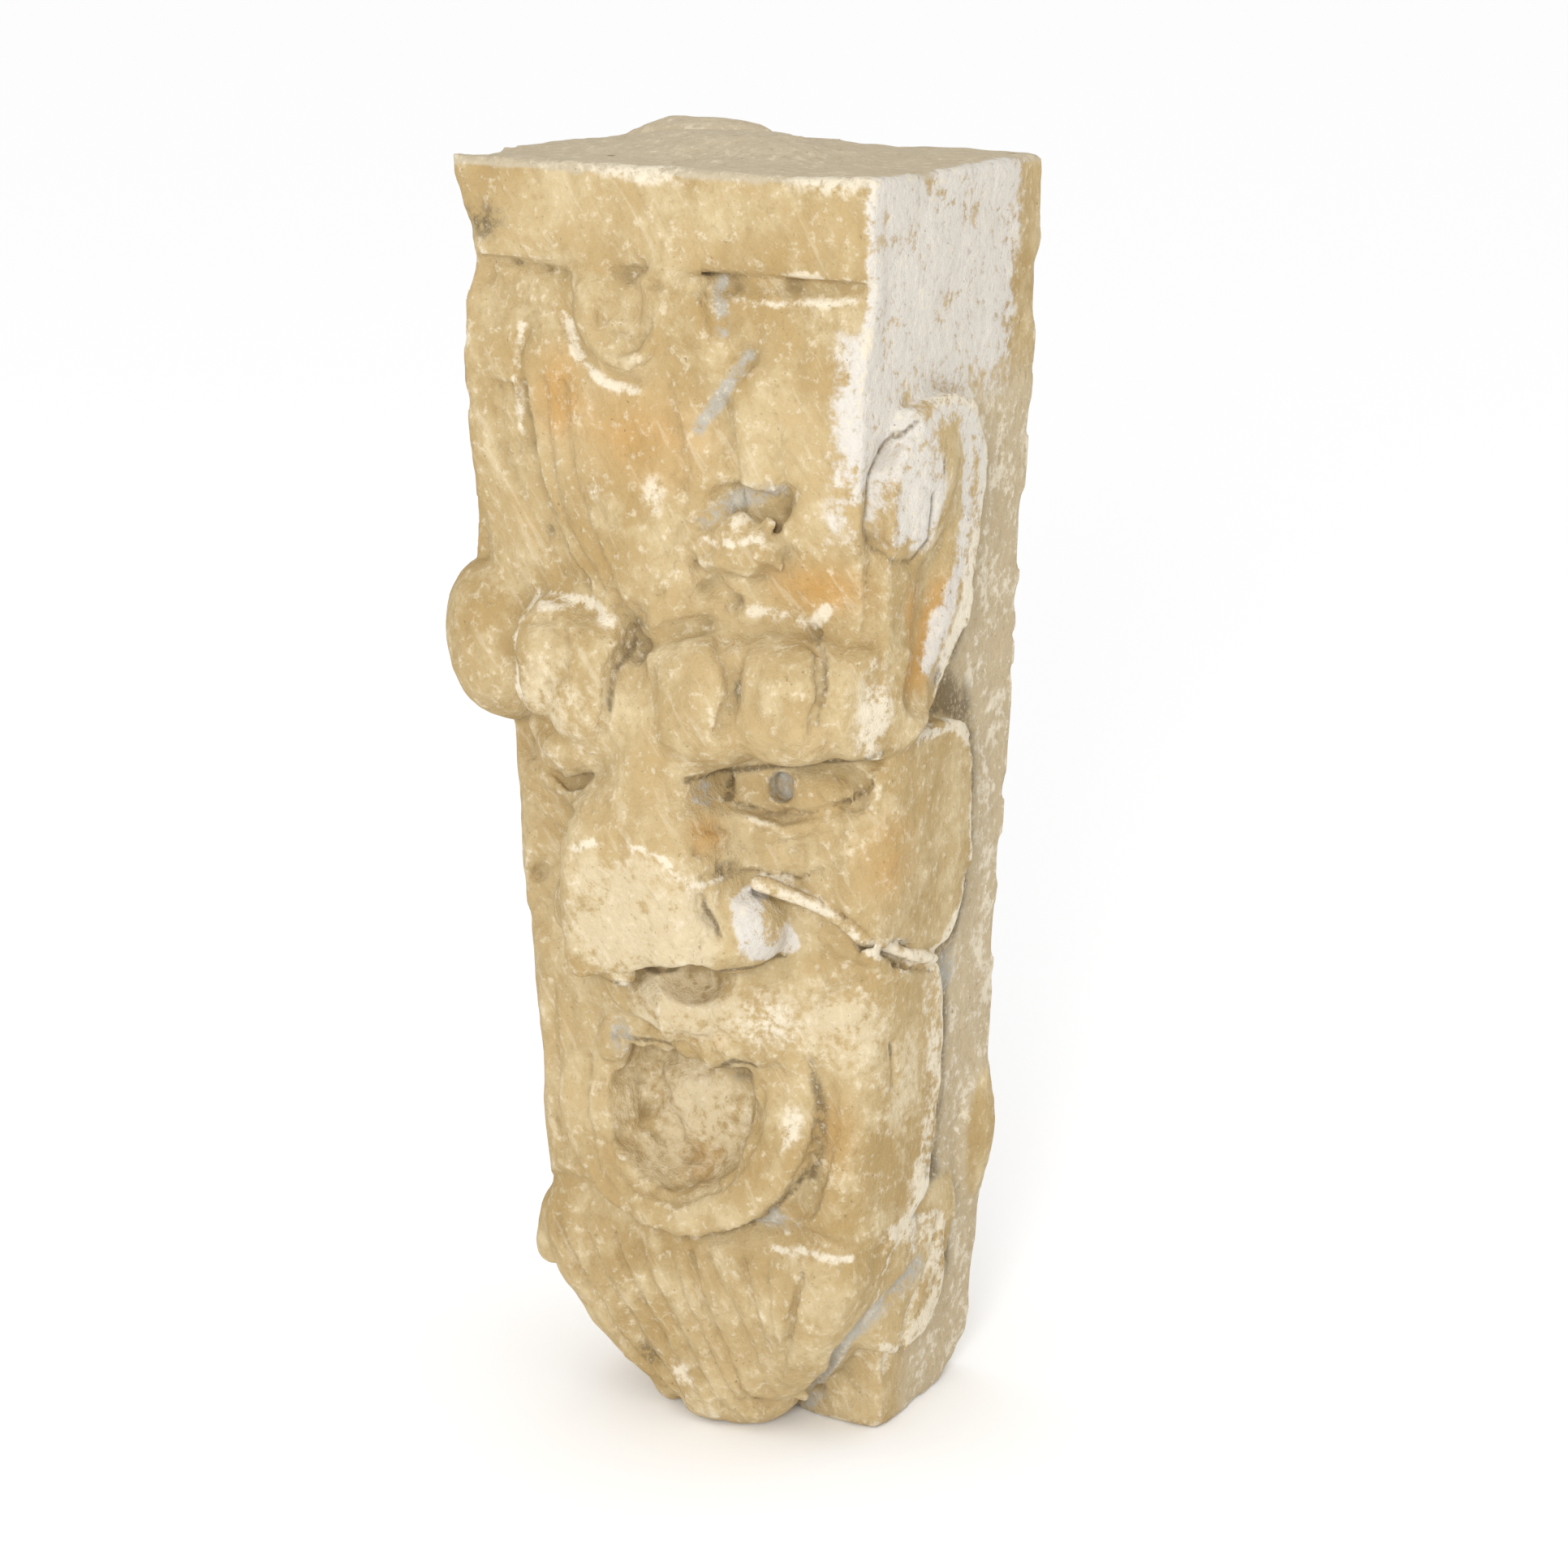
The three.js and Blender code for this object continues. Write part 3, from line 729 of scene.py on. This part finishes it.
def mark(name, *values):
    """Store the highest of the soft values at each point."""
    attribute = mesh.attributes.new(name, "FLOAT", "POINT")
    attribute.data.foreach_set("value", np.clip(np.max(values, axis=0), 0, 1).astype(np.float32))


clipped = np.clip(field, -2, 2)
small = at_points(blurred(clipped, 0.5))
middling = at_points(blurred(clipped, 1.1))
large = at_points(blurred(clipped, 2.4))

# Painted shade: the first mark below darkens creases and narrow hollows, the second darkens broad hollows.
# The mouth is a pale recess, so both fade there
outside_mouth = 1 - 1.5 * spot([0, 23, 27], [10, 8, 9])
mark("hollow_shade", where_all(-1.4 * small - 0.9 * middling, outside_mouth))
mark("shade", where_all(-1.1 * large, outside_mouth))
mark("rim", 1.8 * small + 0.6 * middling)

# How far a point is outside the proud shapes and the ear, as they are drawn on the side
outside = np.min([shape[0](across, forward, up) for shape in (EAR, CHEEK, JOWL, SIDE_LEAF)], axis=0)
ear = EAR[0](across, forward, up)
proud = (abs(across) - HALF - 0.6) / 0.4
recessed = (HALF + 0.8 - abs(across)) / 0.4
to_the_back = (19.5 - forward) / 2
ear_back_or_top = np.maximum(to_the_back, (up - 72) / 3)
joint_beside_proud = where_all(outside / 0.5, (3.8 - outside) / 1.6, recessed, to_the_back)
mark("edge", where_all(1 - abs(outside + 0.3) / 0.7, proud, to_the_back))
mark("strip", where_all(outside / 2, recessed, (14 - forward) / 4, (88 - up) / 8))
mark("bed", (up - TOP + 0.6) / 0.4)
mark(
    "pale",
    spot([-1.2, FRONT, TOP], [6, 2.2, 1.8]),
    spot([13, FRONT, TOP], [5, 2.2, 2]),
    spot([17.4, 24.4, 61.5], [1.6, 3, 6]),
    side_line(1, (8.6, 55), (8.2, 48), (8.8, 43), (11.6, 40.8)),
    spot([7, 27.6, 74.8], [3, 2.4, 1.8]) * 0.9,
    spot([9.2, 24.4, 36.4], [5, 3, 3.6]) * 0.8,
    spot([11.5, 24.4, 28.4], [1.4, 2, 3]),
    spot([-4.7, 28, 76.7], [2.6, 2, 1.6]) * 0.7,
    spot([0.8, 28.2, 76.6], [1.6, 2, 2.6]) * 0.8,
    spot([-1.9, 21.7, 4.4], [3.4, 3, 2]) * 0.8,
    front_line(0.6, (4.3, 73.6), (7.4, 73.8), (9.2, 74.2)) * 0.8,
    front_line(0.8, (8, 68.6), (12.4, 67.8), (13.4, 69)),
    front_line(0.9, (-8.8, 67.6), (-5, 67.8), (-3, 66.8)),
    front_line(0.8, (-10.4, 67.6), (-11.2, 64), (-10.4, 60.4)),
    front_line(0.6, (-7.6, 88.9), (-6.3, 86.2), (-3.6, 84.4), (-1.2, 84)),
    front_line(0.6, (-11, 88), (-11.7, 84), (-11.4, 80)) * 0.8,
    front_line(0.4, (-4.4, 50.1), (-1.7, 51), (2, 51), (4, 50.1), (5.6, 48.3), (6.6, 48.2)),
    front_line(0.8, (8.6, 47.8), (12.6, 46.1), (15.7, 43.5), (17, 42.4)) * 1.3,
    side_line(0.7, (19.4, 42.2), (17.4, 41.2), (12.9, 39.6)) * 1.2,
    where_all(1.2 - abs(ear + 1) / 1.4, proud + 2, (16.4 - forward) / 2, (79 - up) / 6) * 0.9,
    front_line(0.5, (5.8, 91), (9, 90.8), (14.6, 91.4)) * 0.8,
    where_all(1.2 - abs(outside + 1.6) / 1.8, proud, (16.4 - forward) / 3, (40 - up) / 4) * 0.7,
    front_line(0.45, (9, 17.4), (13.3, 17.9), (16.4, 17.4)),
    side_line(0.8, *LEAF_GROOVE) * 0.9,
)
mark(
    "break",
    where_all(spot([1.6, 31, 44.6], [9, 4, 8]) * 2, (51 - up - 0.1 * across) / 1.2),
    spot([2.6, 25.6, 36.6], [9, 4, 4]) * 1.6,
    spot([14.6, 21.6, 36.6], [5.4, 7, 5.4]) * 1.2,
    spot([17.4, 17, 31], [3, 6, 7]) * 0.8,
    spot([-6.4, 30, 60.4], [6, 4, 5]) * 0.9,
    spot([0, 21.6, 26.8], [11, 7, 9]) * 0.9,
)
mark(
    "stain",
    spot([-7.6, 27.3, 83.3], [4, 3, 6]),
    spot([-1, 27.6, 80.6], [10, 4, 7]) * 0.8,
    where_all(1.2 - abs(ear + 4.4) / 2, proud + 1, (72 - up) / 4),
    spot([12.9, 25.6, 70.6], [6, 4, 3.4]),
    spot([5.6, 28.5, 51.6], [3, 3, 2.6]),
    spot([4.2, 25, 34.4], [2, 2, 1.3]),
    spot([17, 20.5, 49.5], [4, 5, 6]) * 0.8,
    spot([0.8, 21.4, 22.7], [6, 3, 4]) * 0.7,
    spot([14.7, 22.3, 27.5], [3.4, 4, 6]) * 0.7,
)
mark(
    "wash",
    where_all((across - HALF + 0.9) / 0.9, (up - 81) / 5, (forward - 2.6) / 3) * 0.72,
    where_all((across - 12.4) / 4, (up - 71) / 12, (forward - 20) / 2, (90 - up) / 3) * 0.7,
    where_all(1.1 - abs(ear + 1.2) / 1.2, proud + 0.4, (up - 61) / 3, ear_back_or_top) * 0.66,
    spot([17.9, 20.2, 78], [1.6, 4, 7]) * 1.1,
    side_line(1.5, (13.8, 81.5), (12.6, 77), (13.2, 71), (14.8, 67.6), (17, 64)) * 0.7,
    front_line(1.1, (8.2, 46.8), (9.2, 44.6), (9.8, 42.4)) * 0.9,
)
mark(
    "mortar",
    front_line(0.9, (4.6, 92), (5.2, 88.8)),
    front_line(0.8, (7, 87), (5.4, 84.2), (4, 81.8)),
    front_line(1.1, (4.6, 75), (6.4, 76.6), (9.6, 77.6)),
    spot([4.4, 27, 54.2], [1.1, 2, 1.5]) * 1.8,
    spot([9.1, 22.6, 54.6], [1.8, 2.4, 1.8]) * 1.8,
    spot([16, 8.8, 37.3], [1.6, 3, 3]),
    side_line(1.5, (10.6, 24), (13, 19), (13.4, 16)),
    line(1.6, [17.7, 12.7, 13.8], [16.9, 17.5, 11.9], [14.9, 19.7, 9], [10.8, 17.2, 4.4], [8.1, 14.8, 0.4]),
    spot([9.3, 22.9, 20], [4, 2.4, 2]),
    spot([-5.8, 23.7, 32.8], [1.6, 3, 2.4]),
)
# Mostly painted shade: dark lines in creases and grooves, under the brows, nose and upper lip, in the mouth
# and along the strip just behind the raised shapes on the sides. The two small spots on the top bed are
# dark marks of the stone
mark(
    "shade_and_grime",
    where_all(joint_beside_proud, (80 - up) / 4, (up - 9) / 2) * 0.75,
    side_line(0.35, *EAR_CURL) * 0.8,
    side_line(0.4, *JOWL_LINE),
    side_line(0.3, (17.8, 80.8), (17.9, 78.6)),
    side_line(0.3, (20.4, 41.6), (17.4, 40.2), (12.9, 38.6)) * 0.8,
    front_line(0.3, (8.4, 47), (12.6, 45.2), (15.7, 42.4)) * 0.8,
    front_line(1.2, (-2.4, 68), (-1, 66), (-0.6, 64.4)) * 0.5,
    front_line(0.6, (-1.4, 65.6), (-2, 63.4), (-2.2, 60.6)) * 0.7,
    front_line(0.5, (12.6, 67.5), (14.4, 66), (15, 63.9), (14.7, 61)) * 0.6,
    spot([6.6, 27.6, 48.6], [1.1, 3, 1.6]),
    spot([2.4, 28, 38.6], [2.8, 3, 1.9]) * 0.7,
    front_line(0.5, (3.8, 55.6), (6.4, 56), (11, 56.8), (15.6, 57.6), (17.6, 58.4)),
    front_line(0.4, (-4, 39.3), (0.2, 39.4), (1, 40.4), (3.6, 40.6), (4.7, 40.9), (9.4, 41.4)),
    front_line(0.4, (-6.4, 32.8), (-0.4, 32.8), (1, 31.4), (3, 31.2), (5.8, 32.8), (7.5, 32.4)),
    front_line(0.8, (12.6, 33.6), (13.4, 30.2), (13.6, 26.9), (12.6, 24)) * 0.8,
    front_line(0.5, (5.2, 55), (5.6, 53.8)) * 1.2,
    front_line(0.3, *LOWER_LID) * 0.7,
    front_line(0.35, *RING_EDGE) * 0.7,
    front_line(0.35, *NOSE_CRACK),
    spot([-13.9, 26.1, 95.5], [3, 3, 2.4]),
    spot([-0.6, 29, 66.6], [1.6, 3, 2.4]),
    spot([8.3, 29.1, 63.8], [0.7, 3, 3.4]),
    spot([17.7, 15.7, 62.6], [2, 1.8, 1.6]),
    spot([5, 20.8, 31], [4, 3, 2]),
    spot([-5.6, 21.9, 5.2], [2.4, 3, 2]),
    spot([-6.2, 21, TOP], [0.5, 0.6, 1]) * 2,
    spot([14, 1.6, TOP], [0.5, 0.6, 1]) * 2,
)


# The limestone

STONE_ROUGHNESS = 0.92
STONE_SHINE = 0.2
BUMP_STRENGTH = 0.5
BUMP_DEPTH = 0.003

# The sockets of a Mix node that carry colours
MIX_FIRST = 6
MIX_SECOND = 7
MIX_RESULT = 2


def colour(red, green, blue):
    """A linear colour from the 0 to 255 values of a display."""
    parts = [part / 255 for part in (red, green, blue)]
    return (*[part / 12.92 if part < 0.04 else ((part + 0.055) / 1.055) ** 2.4 for part in parts], 1)


class Shading:
    """Adds nodes to a material one after the other."""

    def __init__(self, name):
        self.material = bpy.data.materials.new(name)
        self.material.use_nodes = True
        self.tree = self.material.node_tree
        self.shader = self.tree.nodes["Principled BSDF"]

    def node(self, kind, inputs=(), **settings):
        made = self.tree.nodes.new("ShaderNode" + kind)
        for name, value in settings.items():
            setattr(made, name, value)
        for name, value in dict(inputs).items():
            self.feed(made.inputs[name], value)
        return made

    def feed(self, socket, value):
        if isinstance(value, bpy.types.NodeSocket):
            self.tree.links.new(value, socket)
        else:
            socket.default_value = value

    def noise(self, scale, detail, stretch=(1, 1, 1), roughness=0.6, turn=0.0):
        """A random pattern fixed to the stone, turned about its forward axis and then stretched."""
        place = self.node("TexCoord").outputs["Object"]
        place = self.node("Mapping", {"Vector": place, "Rotation": (0, turn, 0)}).outputs["Vector"]
        place = self.node("Mapping", {"Vector": place, "Scale": stretch}).outputs["Vector"]
        inputs = {"Vector": place, "Scale": scale, "Detail": detail, "Roughness": roughness}
        return self.node("TexNoise", inputs).outputs["Fac"]

    def maths(self, operation, first, second, third=0.0):
        made = self.node("Math", {0: first, 1: second, 2: third}, operation=operation)
        return made.outputs[0]

    def ramp(self, value, start, end):
        """A soft step from 0 where the value is at the start to 1 where it is at the end."""
        inputs = {"Value": value, "From Min": start, "From Max": end}
        return self.node("MapRange", inputs, interpolation_type="SMOOTHSTEP").outputs["Result"]

    def mixed(self, share, first, second):
        """The first colour, with the given share of the second."""
        made = self.node("Mix", data_type="RGBA")
        self.feed(made.inputs["Factor"], share)
        self.feed(made.inputs[MIX_FIRST], first)
        self.feed(made.inputs[MIX_SECOND], second)
        return made.outputs[MIX_RESULT]

    def marked(self, name):
        return self.node("Attribute", attribute_name=name).outputs["Fac"]


def limestone():
    look = Shading("limestone")
    broad = look.noise(9, 5)
    middle = look.noise(38, 6, roughness=0.65)
    fine = look.noise(160, 5, roughness=0.7)
    grain = look.noise(700, 3)
    streaks = look.noise(60, 5, (1, 1, 0.4))
    specks = look.noise(330, 2)
    scratches = look.noise(170, 3, (1, 1, 0.1), turn=0.6)
    patches = look.maths("MULTIPLY_ADD", fine, 0.5, look.maths("MULTIPLY", middle, 0.5))
    broken = look.ramp(patches, 0.38, 0.62)

    def over(base, name, tint, spread, start, end, pattern=middle, most=1.0):
        """Lay a tint over the base where the mark, made ragged by the pattern, is strong."""
        uneven_share = look.maths("MULTIPLY_ADD", look.maths("SUBTRACT", pattern, 0.5), spread, 1)
        ragged = look.maths("MULTIPLY", look.marked(name), uneven_share)
        share = look.maths("MULTIPLY", look.ramp(ragged, start, end), most)
        return look.mixed(share, base, colour(*tint))

    def dusted(base, pattern, start, end, most, tint):
        """Lay a tint over the base, from none where the pattern is at the start to most at the end."""
        return look.mixed(look.maths("MULTIPLY", look.ramp(pattern, start, end), most), base, colour(*tint))

    base = look.mixed(look.ramp(broad, 0.35, 0.65), colour(172, 146, 99), colour(190, 167, 124))
    base = dusted(base, middle, 0.42, 0.68, 0.65, (206, 189, 152))
    base = dusted(base, streaks, 0.55, 0.3, 0.35, (156, 131, 88))
    base = over(base, "stain", (186, 141, 76), 2.4, 0.1, 1.0, most=0.7)
    base = over(base, "shade", (150, 132, 94), 0.6, 0.1, 0.7, fine, 0.3)
    base = over(base, "strip", (190, 177, 152), 1.2, 0.1, 0.9, streaks, 0.6)
    base = over(base, "strip", (216, 206, 186), 2.4, 1.2, 2.0, broken, 0.7)
    base = over(base, "bed", (189, 177, 154), 0.6, 0.1, 0.5, fine, 0.8)
    base = over(base, "break", (210, 194, 161), 1.4, 0.1, 0.8, broken, 0.75)
    base = over(base, "wash", (212, 207, 199), 1.3, 0.12, 0.5, broken, 0.9)
    # Mostly painted shade in creases, under overhangs and behind the raised side shapes, with a few dark
    # marks of the stone
    base = over(base, "shade_and_grime", (100, 84, 56), 1.3, 0.1, 1.0, broken, 0.8)
    # Painted shade: dark brown in creases and narrow hollows
    base = over(base, "hollow_shade", (104, 84, 54), 0.8, 0.2, 0.9, fine, 0.85)
    base = over(base, "mortar", (172, 168, 158), 1.5, 0.1, 1.0, broken, 0.85)
    base = over(base, "edge", (221, 211, 190), 1.8, 0.3, 0.8, broken, 0.8)
    base = over(base, "rim", (217, 205, 180), 1.6, 0.3, 0.8, broken, 0.7)
    base = over(base, "pale", (223, 212, 189), 1.6, 0.15, 0.9, broken, 0.9)
    base = dusted(base, fine, 0.54, 0.68, 0.5, (222, 210, 184))
    base = dusted(base, fine, 0.44, 0.32, 0.3, (140, 118, 80))
    base = dusted(base, specks, 0.69, 0.74, 0.5, (112, 92, 62))
    base = dusted(base, scratches, 0.58, 0.68, 0.25, (220, 207, 180))
    base = dusted(base, scratches, 0.42, 0.32, 0.15, (140, 118, 80))
    look.feed(look.shader.inputs["Base Color"], base)
    look.feed(look.shader.inputs["Roughness"], STONE_ROUGHNESS)
    look.feed(look.shader.inputs["Specular IOR Level"], STONE_SHINE)
    height = look.maths("MULTIPLY_ADD", middle, 0.5, look.maths("MULTIPLY_ADD", grain, 0.15, fine))
    height = look.maths("MULTIPLY_ADD", scratches, 0.7, height)
    height = look.maths("MULTIPLY_ADD", broken, 0.5, height)
    bump = look.node("Bump", {"Height": height, "Strength": BUMP_STRENGTH, "Distance": BUMP_DEPTH})
    look.feed(look.shader.inputs["Normal"], bump.outputs["Normal"])
    return look.material


mesh.materials.append(limestone())

# The studio, in metres and watts, with the camera's lens and sensor in millimetres

FLOOR_SIZE = 80
PAPER_WHITE = (0.98, 0.98, 0.98, 1)
CAMERA_AT = (1.07876, -1.76503, 0.94593)
CAMERA_YAW = math.radians(31.2736)
CAMERA_PITCH = math.radians(15.198)
CAMERA_LENS = 81.96
CAMERA_SENSOR = 36
STONE_MIDDLE = (0, 0, 0.4)
LAMP_AT = (1.2, -2.9, 1.4)
LAMP_SIZE = 0.8
LAMP_POWER = 50


def stage_floor():
    bpy.ops.mesh.primitive_plane_add(size=FLOOR_SIZE)
    floor = bpy.context.object
    floor.name = "studio_floor"
    paper = Shading("studio_paper")
    paper.feed(paper.shader.inputs["Base Color"], PAPER_WHITE)
    paper.feed(paper.shader.inputs["Roughness"], 1.0)
    paper.feed(paper.shader.inputs["Specular IOR Level"], 0.0)
    floor.data.materials.append(paper.material)


def add_camera():
    data = bpy.data.cameras.new("camera")
    data.lens = CAMERA_LENS
    data.sensor_width = CAMERA_SENSOR
    camera = bpy.data.objects.new("camera", data)
    camera.location = CAMERA_AT
    camera.rotation_euler = (math.pi / 2 - CAMERA_PITCH, 0, CAMERA_YAW)
    bpy.context.scene.collection.objects.link(camera)
    bpy.context.scene.camera = camera


def add_key_light():
    data = bpy.data.lights.new("key", "AREA")
    data.shape = "DISK"
    data.size = LAMP_SIZE
    data.energy = LAMP_POWER
    lamp = bpy.data.objects.new("key", data)
    lamp.location = LAMP_AT
    direction = np.subtract(STONE_MIDDLE, LAMP_AT)
    yaw = math.atan2(direction[0], -direction[1])
    pitch = math.atan2(math.hypot(direction[0], direction[1]), -direction[2])
    lamp.rotation_euler = (pitch, 0, math.pi + yaw)
    bpy.context.scene.collection.objects.link(lamp)


def add_world():
    world = bpy.data.worlds.new("studio")
    world.use_nodes = True
    background = world.node_tree.nodes["Background"]
    background.inputs["Color"].default_value = (1, 1, 1, 1)
    background.inputs["Strength"].default_value = 1.0
    bpy.context.scene.world = world


stage_floor()
add_camera()
add_world()
add_key_light()
bpy.context.scene.view_settings.view_transform = "Standard"
